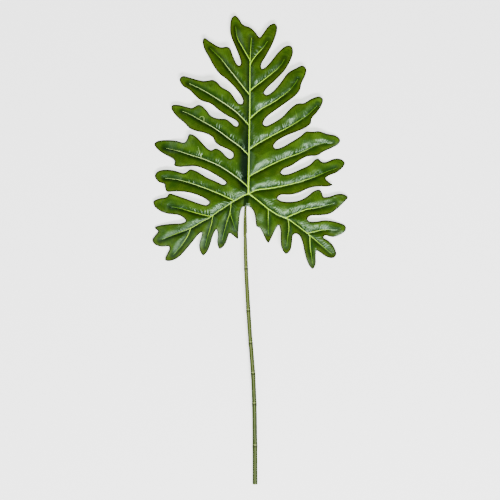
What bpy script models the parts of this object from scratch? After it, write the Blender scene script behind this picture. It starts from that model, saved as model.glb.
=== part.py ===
"""A deeply lobed philodendron leaf on a jointed stem, lying face up on a flat surface.

The leaf's midrib runs along +Y and the stem along -Y. The blade is a thin moulded sheet
with a raised network of pale ribs on its face. Its stalk is moulded under the base of the
midrib and ends in a sleeve, into which the thin top end of the stem is pushed.
"""

import math

import bmesh
import bpy
import numpy as np
from mathutils import Matrix, Vector
from mathutils.bvhtree import BVHTree
from mathutils.geometry import delaunay_2d_cdt

MM = 0.001

# Driving dimensions, in metres.
OVERALL_LENGTH = 0.700
BLADE_THICKNESS = 0.9 * MM
RIB_KEEL = 0.7 * MM
RIB_KEEL_SPREAD = 0.5 * MM
RIB_RIM = 0.25 * MM
RIB_RISE = 0.84
SEAT_GAP = 0.3 * MM
JOINT_SWELL = 0.35 * MM
PEG_RADIUS = 1.8 * MM
PEG_CHAMFER = PEG_RADIUS / 4
PEG_DEPTH = 9.0 * MM
PEG_CLEARANCE = 0.3 * MM
BORE_RUN_OUT = 12.0 * MM

# The blade's relief: a dome over the midrib, folds between the ribs and a slow wave.
CROWN_HEIGHT = 15.0 * MM
CROWN_REACH = 118.0 * MM
CROWN_SPINE = (-10 * MM, 150 * MM)
FOLD_SLOPE = 0.42
FOLD_TURN = 1.5
FOLD_BLEND = 2.0 * MM
WAVE_HEIGHT = 1.4 * MM
WAVE_ACROSS = (21 * MM, 1.3)
WAVE_ALONG = (26 * MM, 0.4)
STALK_SWELL = 1.6 * MM
STALK_SWELL_WIDTH = 2.6 * MM
STALK_SWELL_RUN = 8.0 * MM

# The leaf is drawn on a grid whose origin is the point where the midrib meets the two
# basal ribs, with x to the right and y towards the tip.
DRAWN_LENGTH = 467.7
SQUARE = OVERALL_LENGTH / DRAWN_LENGTH

# Each lobe's edge, anticlockwise round the leaf, with the hollow that follows it.
LOBES = {
    "tip_left": [
        (11.5, 155.6), (8, 160), (2.5, 165.4), (-3.5, 167.7), (-6.4, 170), (-8.7, 174.2),
        (-13, 177.7), (-16.5, 175), (-17.9, 168), (-17.6, 159), (-14.7, 150.5),
        (-10.7, 141), (-7.6, 132), (-7.2, 128.8), (-8.6, 126.9), (-10.6, 128),
    ],
    "left_1": [
        (-13, 132), (-15.7, 139), (-18.2, 144.7), (-21, 146.1), (-27, 145.6),
        (-32, 147.8), (-38.5, 152.1), (-43.4, 155.1), (-45.2, 152.5), (-44, 145),
        (-39, 135.5), (-33.7, 125.7), (-28.5, 119), (-20, 112), (-11.5, 103),
        (-6.2, 95.5), (-5, 91.7), (-6, 89.1), (-8.5, 89),
    ],
    "left_2": [
        (-12, 92.5), (-16.7, 99.5), (-21.5, 103.2), (-26, 105.5), (-30.5, 110.4),
        (-35, 113), (-43, 112), (-52, 113.8), (-60, 116.2), (-65, 117.1), (-68.3, 114),
        (-65.5, 107.7), (-58, 102.7), (-51.5, 96), (-46, 92), (-37.5, 89.2), (-29, 82.5),
        (-19, 76), (-12.5, 72.7), (-9.8, 69.4), (-10.7, 66.8), (-13, 67),
    ],
    "left_3": [
        (-16.5, 70), (-21.5, 73.7), (-29.5, 74.4), (-36.5, 77), (-41.5, 83.1),
        (-46.5, 87.6), (-49.7, 88.2), (-56, 85.3), (-62, 86.7), (-70, 88.6), (-75.8, 88),
        (-76.4, 84.5), (-71, 76.8), (-63.5, 70.3), (-58, 64.7), (-51, 61.8),
        (-42.5, 59.7), (-35, 55.5), (-33, 51.2), (-28.5, 47.5), (-20, 43.5),
        (-15.2, 40.2), (-14.8, 36.7), (-17.7, 34.6),
    ],
    "left_4": [
        (-21, 36.3), (-26.5, 42.1), (-32, 44.8), (-37, 43), (-41.5, 46), (-49, 54.2),
        (-54.5, 58.5), (-58.7, 59.1), (-60.7, 54.5), (-63.5, 51), (-72, 53), (-82, 53.8),
        (-90.7, 52.6), (-93.8, 49.7), (-89.5, 43.4), (-81, 38), (-74, 33.8),
        (-73.2, 31.2), (-73.9, 28.5), (-70.5, 26.6), (-62, 26.7), (-53, 27.2),
        (-42, 23.6), (-31, 17.6), (-24.5, 13.4), (-21.8, 10.7), (-24, 8.8),
    ],
    "left_5": [
        (-31, 11.7), (-42, 16.7), (-51, 22.3), (-57.7, 24.2), (-61, 21.7), (-64, 20.5),
        (-74, 23.2), (-83.5, 24), (-90.5, 22), (-93.1, 17.5), (-89.5, 11.8), (-83.4, 9.3),
        (-82.9, 6), (-81.2, 2.2), (-72, 2.1), (-60, 1), (-50, -1.8), (-41.5, -6),
        (-38.6, -9), (-41.2, -11.4),
    ],
    "left_6": [
        (-49, -9.6), (-60, -5.6), (-71, -1.8), (-78.5, 0.1), (-81.2, -3), (-88, -4.5),
        (-94.3, -7.3), (-94, -11.7), (-88, -17.3), (-79, -20.3), (-69.5, -21.5),
        (-63.7, -24.7), (-62.2, -27.2), (-66, -29.2),
    ],
    "base_left_1": [
        (-76, -29.8), (-86, -31), (-93, -33.2), (-92.8, -35), (-90, -37.3), (-92.5, -41),
        (-95.8, -46.3), (-93, -50.8), (-86, -53), (-79, -52.9),
    ],
    "base_left_2": [
        (-78.8, -56), (-82, -62), (-82.8, -66.3), (-78.5, -67.3), (-70, -64),
        (-61.5, -55.5), (-53, -45.3), (-48.2, -39.6), (-46.1, -38.9),
    ],
    "base_left_3": [
        (-46.6, -43), (-48.7, -50), (-48.1, -56.8), (-44.7, -61.7), (-40.7, -58),
        (-37.5, -50.5), (-34.7, -41.5), (-31.5, -35.9),
    ],
    "base_left_4": [
        (-30.1, -41), (-30.8, -49), (-28.5, -55.1), (-23.5, -51.7), (-20.4, -45),
        (-18.2, -39.7),
    ],
    "base_left_5": [
        (-14, -42.6), (-10.1, -45.2), (-9.6, -39), (-8.6, -28), (-7.3, -18.3),
        (-5, -13.6), (-1, -12.9), (2.5, -14.2),
    ],
    "base_right_5": [
        (5.8, -18.8), (7.3, -26.5), (8.4, -32.8), (11.5, -34.3), (14.6, -39.5),
        (17.8, -46.6), (20.2, -49.2), (22.7, -45.5), (27, -36.7), (30.5, -31.8),
    ],
    "base_right_4": [
        (32.1, -37), (32.2, -46), (33.5, -54.8), (37.8, -60.2), (42.3, -56.3), (44, -48),
        (44.7, -41.9), (47.3, -40), (51, -41.8),
    ],
    "base_right_3": [
        (54.3, -49.5), (56.7, -60.5), (60.3, -70.6), (64.5, -75.2), (67.4, -71),
        (67.7, -63), (68.3, -57),
    ],
    "base_right_2": [
        (73, -59.6), (79, -63.4), (85, -64.2), (88.2, -60.5), (85.5, -52.5),
        (80.5, -47.1), (75.3, -43.6), (77, -41.7),
    ],
    "base_right_1": [
        (84, -43.3), (92, -41), (97.7, -36.3), (97.3, -32), (89, -28.3), (77, -26.4),
        (67, -27.8), (60.3, -27.2), (59.1, -24.8), (62, -22.3),
    ],
    "right_6": [
        (72, -21.7), (81.5, -20.1), (88.5, -15.5), (95.5, -8.8), (99.7, -3.6), (97, -1),
        (90, 0), (81, -2.7), (75.3, -3.2), (73.9, 0.5), (71.2, 4), (65, 2.3),
        (59.5, -2.2), (51, -6.7), (41, -8.2), (32.5, -7.2), (29.2, -4.7), (31.8, -1.7),
    ],
    "right_5": [
        (42, -1.3), (50.5, 0.6), (59, 4.6), (68, 6.9), (80, 7.1), (84.4, 8.8),
        (80.3, 12), (77.4, 15.2), (80.5, 17.9), (88.5, 21.2), (95, 26.7), (96.8, 31),
        (93, 34.7), (86.5, 35.1), (77, 31.6), (73.3, 32), (70, 35), (67, 34.3),
        (61.5, 29), (52, 24.3), (42.5, 20.2), (35.5, 18.9), (32.7, 20.6), (34.8, 23.9),
    ],
    "right_4": [
        (43, 27.5), (51.5, 33), (59, 36.9), (69.5, 38.1), (74.5, 41.4), (83.5, 45.6),
        (90.5, 49.8), (92.1, 53.7), (88.3, 57.7), (79, 59.8), (70, 62.3), (63.5, 61.5),
        (58, 61.9), (52, 57.1), (42, 50.8), (32.5, 45.6), (27.3, 44.7), (25.3, 47),
        (27.8, 51),
    ],
    "right_3": [
        (36, 56.3), (48, 61.3), (57.5, 65.6), (62.6, 70), (63.2, 74.2), (69.5, 81.8),
        (74.2, 90), (74.6, 94.6), (70.8, 96.9), (62.5, 94.2), (55.5, 90), (48.8, 89.4),
        (41.5, 84), (34, 76.2), (24.5, 70), (17.5, 67.1), (15, 69.2), (17.5, 74.7),
    ],
    "right_2": [
        (25.5, 81.2), (35.5, 88.4), (46, 96.3), (51.5, 102.5), (53.3, 109.7),
        (57, 117.5), (58.1, 124), (54.3, 127.6), (47.5, 124.8), (39.8, 120.2),
        (32.5, 110.5), (24.5, 101.3), (18.3, 97.8), (15.9, 99.6), (18, 103.4),
    ],
    "right_1": [
        (28, 113.2), (36.5, 122.5), (42.6, 133.1), (45, 142), (42.9, 147), (38, 147.1),
        (30.5, 141.2), (23, 131.7), (17, 125.2), (13.8, 123.8), (13, 127.4),
    ],
    "tip_right": [
        (18.8, 137.8), (24, 148), (27.8, 157.8), (29.2, 166), (26.7, 169.6), (21, 167.6),
        (16, 161.2),
    ],
}

# Each rib: its width at the root and at the end in millimetres, and its line from root to end.
RIBS = {
    "midrib": (4.4, 0.9, [
        (0.4, -0.5), (0.4, 8.5), (0.6, 23.5), (1, 41.5), (1.3, 63.5), (1.7, 83.5), (1.8, 98.5),
        (1.9, 118.5), (2.1, 133.5), (2.7, 145.5), (3.5, 155.5)]),
    "tip_left": (1.9, 0.6, [
        (1.9, 133), (-2.5, 140.5), (-7.5, 149.2), (-11, 156.5), (-12.3, 166.5)]),
    "tip_right": (2.0, 0.6, [(2.2, 129), (6.5, 135.8), (12, 142), (17, 148), (19.5, 152)]),
    "left_1": (2.0, 0.6, [
        (1.7, 98.2), (-2.5, 103), (-7.5, 109.5), (-17.5, 122.1), (-27.5, 134.7),
        (-37.5, 144.5)]),
    "left_2": (2.0, 0.6, [
        (1.4, 67.5), (-7.5, 77), (-13.5, 82.5), (-29.5, 93.6), (-45.5, 103.3), (-59.5, 110)]),
    "left_3": (2.0, 0.6, [
        (1.1, 37.5), (-7.5, 46.2), (-17.5, 53.5), (-27.5, 61.1), (-37.5, 67.7),
        (-47.5, 73.2), (-57.5, 78.9), (-65.5, 82.2)]),
    "left_4": (2.0, 0.6, [
        (0.5, 6), (-7.5, 13.2), (-17.5, 20.6), (-27.5, 27), (-37.5, 31.8), (-45.5, 34.9),
        (-57.5, 38.6), (-67.5, 42), (-83.5, 46)]),
    "left_5": (2.0, 0.6, [
        (-13.9, -7), (-29.5, 0.1), (-45.5, 6.5), (-62.5, 12.1), (-72.5, 14.4), (-83.5, 15.7)]),
    "left_6": (1.8, 0.6, [
        (-36.1, -22.9), (-47.5, -20.4), (-57.5, -17.5), (-67.5, -14.7), (-77.5, -12.8)]),
    "basal_left": (2.3, 0.8, [
        (0.4, -0.3), (-3, -0.9), (-6.5, -3.3), (-14, -7.3), (-25.5, -15), (-33.5, -20.2),
        (-36.1, -22.7), (-43.5, -26.5), (-57, -34.1), (-73.5, -40.5), (-87.5, -46.3)]),
    "base_left_2": (1.7, 0.6, [
        (-57.3, -34.5), (-59.5, -40.5), (-63, -46.5), (-67.5, -52.9), (-75, -61.5)]),
    "base_left_3": (1.6, 0.6, [(-35.2, -22.1), (-36.5, -30.5), (-39, -38.5), (-42.8, -53)]),
    "base_left_4": (1.7, 0.6, [
        (-17.1, -9.8), (-17.9, -19), (-20.5, -26.5), (-22.5, -33.5), (-26.2, -48)]),
    "base_left_5": (1.2, 0.6, [(-17.9, -19), (-16.5, -23.5), (-12.5, -36.5)]),
    "basal_right": (2.5, 0.8, [
        (0.4, 0), (4.5, -2.9), (12.5, -9), (19.5, -14.8), (26, -19), (32.5, -22.7),
        (38.5, -24.5), (44.5, -28.5), (59.5, -39.7), (66.5, -45.5), (84, -60.5)]),
    "base_right_5": (1.5, 0.6, [(20.1, -15.2), (20.2, -20.5), (20, -28.5), (20.2, -40.5)]),
    "base_right_4": (1.5, 0.6, [
        (39.8, -25.4), (40.5, -30.5), (40.5, -37.5), (39.5, -43.5), (38.5, -54)]),
    "base_right_3": (1.7, 0.6, [(61.5, -41.4), (62.1, -53.5), (64.5, -70.5)]),
    "base_right_1": (1.7, 0.6, [
        (59, -39.4), (62.5, -38.8), (69.5, -36.9), (78.5, -35.8), (89.5, -36.3)]),
    "right_6": (2.0, 0.6, [
        (37.5, -24.2), (42.5, -21.8), (52.5, -17.7), (58.5, -15.5), (66.5, -14.3),
        (86.5, -9.5)]),
    "right_5": (2.3, 0.6, [
        (0.7, -0.3), (4, 1.8), (8.5, 3.5), (17.5, 4.7), (27.5, 6.2), (47.5, 10.7),
        (64.5, 16.2), (82.5, 23.5), (88.5, 25.5)]),
    "right_4": (2.0, 0.6, [
        (0.7, 16.9), (7.5, 20.8), (27.5, 30.9), (37.5, 35.3), (47.5, 38.9), (57.5, 43.3),
        (67.5, 48.2), (75.5, 50.5), (84.5, 51.3)]),
    "right_3": (2.0, 0.6, [
        (1.1, 43.7), (7.5, 48.3), (27.5, 59.5), (37.5, 64.7), (47.5, 70.5), (60.5, 79.5),
        (69.5, 88.5)]),
    "right_2": (2.0, 0.6, [
        (1.6, 74.3), (10.5, 82.2), (16.5, 86.2), (24.5, 90.5), (32.5, 95.9), (43.5, 105.1),
        (49.5, 114)]),
    "right_1": (2.0, 0.6, [
        (1.9, 102.3), (5, 104.9), (15, 112.5), (25, 120.7), (32.5, 127.5), (36.5, 134.5)]),
}

# Where the lying leaf touches the surface: two lobe ends, pressed down to a small flat spot.
REST_SPOTS = [(-88, 48), (91, 29.5)]
REST_REACH = 26.0 * MM
REST_PRESS = 0.5 * MM

# The stalk and stem seen from above: x at each y, on the same grid.
STEM_LINE = [
    (-0.2, 14), (-1, 0), (-2.5, -13), (-2.8, -22.5), (-2.7, -43), (-2.3, -66), (-0.9, -96),
    (1.6, -136), (5, -180), (6.3, -211), (6.8, -240), (7, -290),
]
SINUS_EDGE = -13
SLEEVE_MOUTH = -42.5
SLEEVE_END = [(-4.3, -43), (-1.3, -39.8)]
STEM_SHOULDER = -44.2
STEM_JOINTS = [-74.9, -116.9, -149.3, -179.7, -210.2, -252.2]
STEM_END = -290

# The stalk's radius in millimetres at each y: keel, neck, collar and sleeve.
STALK_PROFILE = [
    (13, 0.9), (12, 1.2), (6, 1.6), (0, 1.9), (-13, 1.95), (-20.8, 2.05), (-21.8, 2.1),
    (-22.4, 2.55), (-23.1, 2.4), (-26.4, 2.5), (-33, 2.8), (-41, 2.95), (-44.5, 2.95),
]

# The stem's radius in millimetres at each y, between its joints.
STEM_PROFILE = [(-42.5, 2.65), (-66, 3.0), (-108, 3.25), (-158, 3.35), (-218, 3.6), (-290, 3.8)]

# How far a joint of the stem swells, as a share of JOINT_SWELL, at millimetres from its ring.
JOINT_PROFILE = [
    (5.5, 0), (2.6, 0.7), (0.9, 1), (0, -0.9), (-0.9, 0.9), (-2.6, 0.4), (-5.5, 0),
]
STEM_WAIST = -0.2

# How finely the curves are cut up.
OUTLINE_STEP = 6.0 * MM
OUTLINE_TURN = math.radians(24)
RIB_STEP = 9.0 * MM
INNER_STEP = 7.0 * MM
INNER_CLEARANCE = 0.42 * INNER_STEP
STALK_SEAT_STEPS = 14
SEAT_PROBES = 7
BORE_STEPS = 9
TUBE_BEVEL_RESOLUTION = 4
SHARP_ANGLE = math.radians(40)
WELD_DISTANCE = 1e-6
SAME_PLACE_SQUARES = 1e-5


def spline(points, closed=False, parts=16):
    """Dense points along a smooth curve through the given ones."""
    p = np.array(points, float)
    if closed:
        before, after, after2 = np.roll(p, 1, 0), np.roll(p, -1, 0), np.roll(p, -2, 0)
        here = p
    else:
        ends = np.vstack([2 * p[0] - p[1], p, 2 * p[-1] - p[-2]])
        before, here, after, after2 = ends[:-3], ends[1:-2], ends[2:-1], ends[3:]
    made = []
    for a, b, c, d in zip(before, here, after, after2):
        knots = np.cumsum([0] + [max(np.linalg.norm(v), 1e-9) ** 0.5 for v in (b - a, c - b, d - c)])
        t = np.linspace(knots[1], knots[2], parts, endpoint=False)[:, None]
        ab = ((knots[1] - t) * a + (t - knots[0]) * b) / (knots[1] - knots[0])
        bc = ((knots[2] - t) * b + (t - knots[1]) * c) / (knots[2] - knots[1])
        cd = ((knots[3] - t) * c + (t - knots[2]) * d) / (knots[3] - knots[2])
        abc = ((knots[2] - t) * ab + (t - knots[0]) * bc) / (knots[2] - knots[0])
        bcd = ((knots[3] - t) * bc + (t - knots[1]) * cd) / (knots[3] - knots[1])
        made.append(((knots[2] - t) * abc + (t - knots[1]) * bcd) / (knots[2] - knots[1]))
    if not closed:
        made.append(p[-1:])
    return np.vstack(made)


def thinned(dense, longest, turn):
    """The dense points that are needed to keep each piece short and each corner gentle."""
    kept, length, bend = [dense[0]], 0.0, 0.0
    for last, here, after in zip(dense, dense[1:], dense[2:]):
        way, onward = here - last, after - here
        length += np.linalg.norm(way)
        cross = way[0] * onward[1] - way[1] * onward[0]
        bend += abs(math.atan2(cross, way @ onward))
        if length >= longest or bend >= turn:
            kept.append(here)
            length, bend = 0.0, 0.0
    return np.array(kept)


def spaced(dense, step):
    """Points at equal distances along a dense line, with both its ends."""
    along = np.concatenate([[0], np.cumsum(np.linalg.norm(np.diff(dense, axis=0), axis=1))])
    count = max(2, round(along[-1] / step))
    places = np.linspace(0, along[-1], count + 1)
    return np.stack([np.interp(places, along, dense[:, k]) for k in range(dense.shape[1])], 1)


def leaf_outline():
    points = [p for edge in LOBES.values() for p in edge]
    dense = spline(np.array(points) * SQUARE, closed=True)
    return thinned(dense, OUTLINE_STEP, OUTLINE_TURN)


def rib_lines():
    """Each rib as (points, half width at each point)."""
    lines = []
    for root, end, points in RIBS.values():
        line = spaced(spline(np.array(points) * SQUARE), RIB_STEP)
        share = np.linspace(0, 1, len(line))
        lines.append((line, (root + (end - root) * share) / 2 * MM))
    return lines


def distance_to_pieces(points, starts, ends):
    """Each point's distance from each straight piece, and how far along the piece that is."""
    way = ends - starts
    share = np.einsum("psk,sk->ps", points[:, None] - starts, way) / np.maximum((way**2).sum(1), 1e-18)
    share = np.clip(share, 0, 1)
    return np.linalg.norm(points[:, None] - starts - share[..., None] * way, axis=2), share


def distance_to_line(points, line):
    return distance_to_pieces(points, line[:-1], line[1:])[0].min(1)


class LeafForm:
    """The height of the blade's face over the surface that it lies on, worked out at any place."""

    def __init__(self):
        self.outline = leaf_outline()
        self.ribs = rib_lines()
        self.rib_starts = np.vstack([line[:-1] for line, _ in self.ribs])
        self.rib_ends = np.vstack([line[1:] for line, _ in self.ribs])
        self.rib_widths = np.vstack([np.stack([w[:-1], w[1:]], 1) for _, w in self.ribs])
        self.stalk = spline(np.array(STEM_LINE) * SQUARE)
        self.presses = []
        spots = np.array(REST_SPOTS) * SQUARE
        depths = self.back(spots) + REST_PRESS
        self.presses = list(zip(spots, depths))

    def rib_gap(self, xy):
        """Distance to the nearest rib's middle line, and that rib's half width there."""
        gap, share = distance_to_pieces(xy, self.rib_starts, self.rib_ends)
        piece = gap.argmin(1)
        row = np.arange(len(xy))
        widths = self.rib_widths[piece]
        width = widths[:, 0] + (widths[:, 1] - widths[:, 0]) * share[row, piece]
        return gap[row, piece], width

    def fold_gap(self, xy):
        """Distance to the ribs that has no crease half way between two of them."""
        gaps = np.stack([distance_to_line(xy, line) for line, _ in self.ribs])
        return np.maximum(0, -FOLD_BLEND * np.log(np.exp(-gaps / FOLD_BLEND).sum(0)))

    def edge_gap(self, xy):
        return distance_to_line(xy, np.vstack([self.outline, self.outline[:1]]))

    def dome(self, x, y):
        from_spine = np.hypot(x, y - np.clip(y, *CROWN_SPINE))
        return CROWN_HEIGHT * np.exp(-((from_spine / CROWN_REACH) ** 2))

    def fold(self, x, y, xy):
        """It rises from each rib and turns down again at the edge, with a wave that grows outward."""
        rib_gap, edge_gap = self.fold_gap(xy), self.edge_gap(xy)
        reach = rib_gap + edge_gap
        share = rib_gap / reach
        across = np.sin(x / WAVE_ACROSS[0] + WAVE_ACROSS[1])
        along = np.sin(y / WAVE_ALONG[0] + WAVE_ALONG[1])
        return FOLD_SLOPE * rib_gap * (1 - share**FOLD_TURN) + WAVE_HEIGHT * across * along * share

    def swell(self, y, xy):
        """The rounded rise over the stalk, from the midrib's base to the edge."""
        from_stalk = distance_to_line(xy, self.stalk)
        run = np.clip(-y / STALK_SWELL_RUN, 0, 1)
        return STALK_SWELL * run * np.exp(-((from_stalk / STALK_SWELL_WIDTH) ** 2))

    def face(self, xy):
        x, y = xy.T
        height = self.dome(x, y) + self.fold(x, y, xy) + self.swell(y, xy)
        for spot, depth in self.presses:
            away = np.linalg.norm(xy - spot, axis=1)
            height -= depth * np.exp(-((away / REST_REACH) ** 2))
        return np.maximum(height, BLADE_THICKNESS)

    def back(self, xy):
        """The underside, thicker along the ribs, and flat where it lies on the surface."""
        rib_gap, half_width = self.rib_gap(xy)
        keel = RIB_KEEL * np.exp(-((rib_gap / (half_width + RIB_KEEL_SPREAD)) ** 2))
        return np.maximum(self.face(xy) - BLADE_THICKNESS - keel, 0)


def inside(points, outline):
    """True where a point is inside the closed outline."""
    x, y = points.T
    crossings = np.zeros(len(points), int)
    for (x0, y0), (x1, y1) in zip(outline, np.roll(outline, -1, 0)):
        if y0 == y1:
            continue
        spans = (y0 > y) != (y1 > y)
        crossings += spans & (x < x0 + (y - y0) * (x1 - x0) / (y1 - y0))
    return crossings % 2 == 1


def triangulated(chains, loose):
    """Triangles inside the closed chains. A chain is (points, closed); loose points are kept too."""
    points, edges = [], []
    for chain, closed in chains:
        first = len(points)
        points.extend(chain)
        edges.extend((first + i, first + i + 1) for i in range(len(chain) - 1))
        if closed:
            edges.append((first + len(chain) - 1, first))
    points.extend(loose)
    scaled = [Vector(p) / SQUARE for p in points]
    inside_constraints = 1
    verts, _, faces, *_ = delaunay_2d_cdt(scaled, edges, [], inside_constraints, SAME_PLACE_SQUARES)
    return np.array([v[:] for v in verts]) * SQUARE, faces


def rib_sides(line, half_widths):
    """A tapered strip round one rib's line: its closed edge, from root to pointed end and back."""
    way = np.gradient(line, axis=0)
    way /= np.linalg.norm(way, axis=1)[:, None]
    across = np.stack([-way[:, 1], way[:, 0]], 1) * half_widths[:, None]
    return np.vstack([line[:-1] + across[:-1], line[-1:], (line[:-1] - across[:-1])[::-1]])


def leaf_sheet(form):
    """The leaf filled with triangles, and for each triangle whether a rib lies on it."""
    low, high = form.outline.min(0), form.outline.max(0)
    rows = np.arange(low[1], high[1], INNER_STEP * math.sin(math.radians(60)))
    columns = np.arange(low[0], high[0], INNER_STEP)
    loose = np.array([(x + (i % 2) * INNER_STEP / 2, y) for i, y in enumerate(rows) for x in columns])
    loose = loose[inside(loose, form.outline)]
    rib_gap, half_width = form.rib_gap(loose)
    clear = np.minimum(form.edge_gap(loose), rib_gap - half_width) > INNER_CLEARANCE
    along = form.stalk[:, 1]
    under = form.stalk[(along < -STALK_SWELL_RUN / 2) & (along > SINUS_EDGE * SQUARE)]
    strips = [rib_sides(*rib) for rib in form.ribs]
    chains = [(form.outline, True), (spaced(under, INNER_STEP / 2), False)]
    chains += [(strip, True) for strip in strips]
    chains += [(line, False) for line, _ in form.ribs]
    xy, faces = triangulated(chains, loose[clear])
    middles = np.array([xy[face].mean(0) for face in faces])
    ribbed = np.any([inside(middles, strip) for strip in strips], axis=0)
    return xy, faces, ribbed


def sheet_mesh(xy, faces):
    bm = bmesh.new()
    verts = [bm.verts.new((x, y, 0)) for x, y in xy]
    for face in faces:
        bm.faces.new([verts[i] for i in face])
    loose = [v for v in bm.verts if not v.link_faces]
    bmesh.ops.delete(bm, geom=loose, context="VERTS")
    return bm


def two_skins(bm, low, high):
    """The flat sheet made a closed body: its own heights below and above each place."""
    lower = bm.verts[:]
    bmesh.ops.extrude_face_region(bm, geom=bm.faces[:], use_keep_orig=True)
    known = set(lower)
    upper = [v for v in bm.verts if v not in known]
    for verts, height in ((lower, low), (upper, high)):
        for vert, z in zip(verts, height(np.array([v.co[:2] for v in verts]))):
            vert.co.z = z
    return bm


def finished(name, bm, material):
    bmesh.ops.recalc_face_normals(bm, faces=bm.faces[:])
    mesh = bpy.data.meshes.new(name)
    bm.to_mesh(mesh)
    bm.free()
    mesh.shade_smooth()
    mesh.set_sharp_from_angle(angle=SHARP_ANGLE)
    if material:
        mesh.materials.append(material)
    obj = bpy.data.objects.new(name, mesh)
    leaf_collection.objects.link(obj)
    return obj


def make_blade(form, sheet, material):
    xy, faces, _ = sheet
    return finished("blade", two_skins(sheet_mesh(xy, faces), form.back, form.face), material)


def make_ribs(form, sheet, material):
    """The pale rib network: one body that lies on the blade's face, rounded across each rib."""
    xy, faces, ribbed = sheet
    bm = sheet_mesh(xy, [face for face, kept in zip(faces, ribbed) if kept])

    def seat(places):
        return form.face(places) + SEAT_GAP

    def crest(places):
        gap, half_width = form.rib_gap(places)
        round_top = RIB_RISE * half_width * (1 - np.minimum(1, gap / half_width) ** 2)
        return seat(places) + np.maximum(round_top, RIB_RIM)

    return finished("ribs", two_skins(bm, seat, crest), material)


def profile_radius(profile, y):
    drawn_ys, radii_mm = np.array(profile)[::-1].T
    return np.interp(y / SQUARE, drawn_ys, radii_mm) * MM


class StemRoute:
    """The middle line of stalk and stem, and the stem's radius, at each y."""

    def __init__(self, form):
        self.line = form.stalk[::-1]
        sinus, last_joint = SINUS_EDGE * SQUARE, STEM_JOINTS[-1] * SQUARE
        edge = np.array([[self.across(sinus), sinus]])
        lying = self.radius(last_joint) + JOINT_SWELL
        hanging = form.back(edge)[0] - 2 * SEAT_GAP - profile_radius(STALK_PROFILE, sinus)
        self.rise = ([last_joint, sinus], [lying, hanging])

    def across(self, y):
        return np.interp(y, self.line[:, 1], self.line[:, 0])

    def radius(self, y):
        return profile_radius(STEM_PROFILE, y)

    def height(self, y):
        return np.interp(y, *self.rise)

    def at(self, y):
        return self.across(y), y, self.height(y)


def tube(name, points, radii, material):
    """A round bar along the points, with its own radius at each, as a closed mesh object."""
    curve = bpy.data.curves.new(name, "CURVE")
    curve.dimensions = "3D"
    curve.twist_mode = "Z_UP"
    curve.bevel_depth = 1.0 * MM
    curve.bevel_resolution = TUBE_BEVEL_RESOLUTION
    curve.use_fill_caps = True
    line = curve.splines.new("POLY")
    line.points.add(len(points) - 1)
    for point, place, r in zip(line.points, points, radii):
        point.co = (*place, 1)
        point.radius = r / MM
    obj = bpy.data.objects.new(name, curve)
    leaf_collection.objects.link(obj)
    graph = bpy.context.evaluated_depsgraph_get()
    bm = bmesh.new()
    bm.from_mesh(bpy.data.meshes.new_from_object(obj.evaluated_get(graph)))
    bmesh.ops.remove_doubles(bm, verts=bm.verts[:], dist=WELD_DISTANCE)
    bpy.data.objects.remove(obj)
    return finished(name, bm, material)


def stem_stations():
    """Places from the stem's shoulder to its cut end, with the share it swells by at each."""
    stations = [(STEM_SHOULDER * SQUARE, 0), (STEM_END * SQUARE, 0)]
    ends = [SLEEVE_MOUTH, *STEM_JOINTS, STEM_END]
    stations += [((upper + lower) / 2 * SQUARE, STEM_WAIST) for upper, lower in zip(ends, ends[1:])]
    for joint in STEM_JOINTS:
        stations += [(joint * SQUARE + along * MM, swell) for along, swell in JOINT_PROFILE]
    return sorted(stations, reverse=True)


def make_stem(route, material):
    """The jointed stem, with a thin peg at its top that sits inside the stalk's sleeve."""
    shoulder = STEM_SHOULDER * SQUARE
    top = SLEEVE_MOUTH * SQUARE + PEG_DEPTH
    places = [(top, PEG_RADIUS - PEG_CHAMFER), (top - PEG_CHAMFER, PEG_RADIUS)]
    places += [(shoulder + PEG_CHAMFER, PEG_RADIUS)]
    places +=[(y, route.radius(y) + swell * JOINT_SWELL) for y, swell in stem_stations()]
    return tube("stem", [route.at(y) for y, _ in places], [r for _, r in places], material)


def bore_cutter(route):
    """A bar with clearance all round the stem's peg, running out through the sleeve's mouth."""
    mouth = SLEEVE_MOUTH * SQUARE
    places = np.linspace(mouth - BORE_RUN_OUT, mouth + PEG_DEPTH + PEG_CLEARANCE, BORE_STEPS)
    radii = [PEG_RADIUS + PEG_CLEARANCE] * BORE_STEPS
    return as_cutter(tube("sleeve_bore", [route.at(y) for y in places], radii, None))


def slant_cutter(route):
    """A block that takes off the sleeve's end, so that its left side runs further down the stem."""
    left, right = np.array(SLEEVE_END) * SQUARE
    way = (right - left) / np.linalg.norm(right - left)
    middle = (left + right) / 2 + np.array([way[1], -way[0]]) * BORE_RUN_OUT / 2
    bm = bmesh.new()
    bmesh.ops.create_cube(bm, size=BORE_RUN_OUT)
    turn = Matrix.Rotation(math.atan2(way[1], way[0]), 3, "Z")
    bmesh.ops.rotate(bm, verts=bm.verts[:], cent=(0, 0, 0), matrix=turn)
    bmesh.ops.translate(bm, verts=bm.verts[:], vec=(*middle, route.height(middle[1])))
    return as_cutter(finished("sleeve_slant", bm, None))


def as_cutter(obj):
    leaf_collection.objects.unlink(obj)
    cutter_collection.objects.link(obj)
    obj.hide_render = True
    obj.display_type = "WIRE"
    return obj


def cut_away(obj, cutter):
    cut = obj.modifiers.new(cutter.name, "BOOLEAN")
    cut.operation = "DIFFERENCE"
    cut.solver = "EXACT"
    cut.object = cutter


def underside_of(obj):
    """A function from a place on the ground to the height of the object's underside over it."""
    bm = bmesh.new()
    bm.from_mesh(obj.data)
    tree = BVHTree.FromBMesh(bm)
    bm.free()

    def height(place):
        hit = tree.ray_cast(Vector((*place, -1)), Vector((0, 0, 1)))[0]
        return hit.z if hit else math.inf

    return height


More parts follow.
